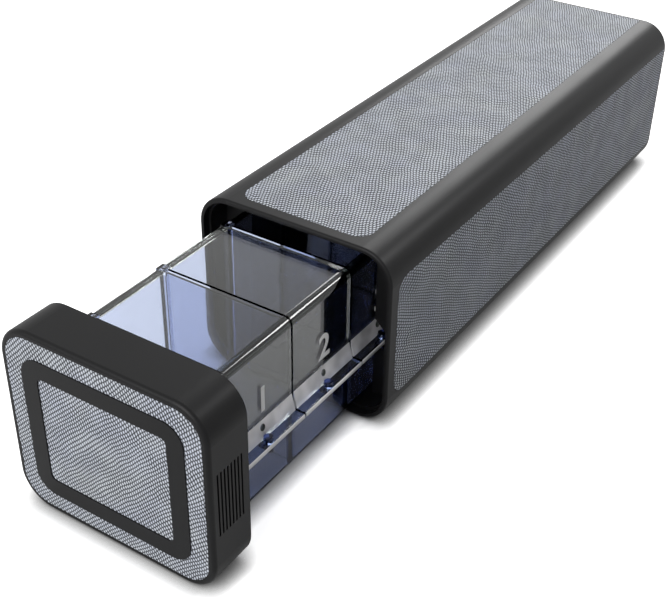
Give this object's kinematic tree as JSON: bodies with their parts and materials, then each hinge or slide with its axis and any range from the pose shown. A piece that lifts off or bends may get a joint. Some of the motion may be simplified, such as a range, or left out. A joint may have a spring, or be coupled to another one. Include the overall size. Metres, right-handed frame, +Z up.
{
  "type": "weekly pill drawer organizer",
  "caption": "Rounded black sleeve with textured inlays and a long clear drawer of lidded pill compartments that slides out at one end.",
  "frame": {"origin": "middle of the sleeve's flat underside, which the organizer rests on", "axes": "+Z up, +Y along the sleeve to its closed back (the drawer pulls out towards -Y), +X to the side with the lids' lips"},
  "size_m": [0.066, 0.2854, 0.058],
  "materials": {
    "black_plastic": "matt moulded",
    "black_trim": "smooth matt",
    "woven_inlay": "embossed fine grain",
    "clear_blue_tray": "clear polished",
    "clear_lid": "clear polished"
  },
  "bodies": {
    "sleeve": {"sleeve_shell": "black_plastic", "sleeve_rear_cover": "black_plastic", "sleeve_guide_plate": "black_plastic", "drawer_runner_right": "black_plastic", "drawer_runner_left": "black_plastic", "top_inlay": "woven_inlay", "right_inlay": "woven_inlay", "left_inlay": "woven_inlay"},
    "drawer": {"drawer_front": "black_plastic", "drawer_front_inlay": "woven_inlay", "drawer_front_ring": "black_trim", "drawer_front_backing": "black_plastic", "drawer_tray": "clear_blue_tray", "lid_1": "clear_lid", "lid_2": "clear_lid", "lid_3": "clear_lid", "lid_4": "clear_lid", "lid_5": "clear_lid", "lid_6": "clear_lid", "lid_7": "clear_lid"}
  },
  "joints": [
    {"name": "drawer_slide", "type": "slide", "parent": "sleeve", "child": "drawer", "axis": [0, -1, 0], "range_m": [-0.0644, 0.1416]}
  ]
}
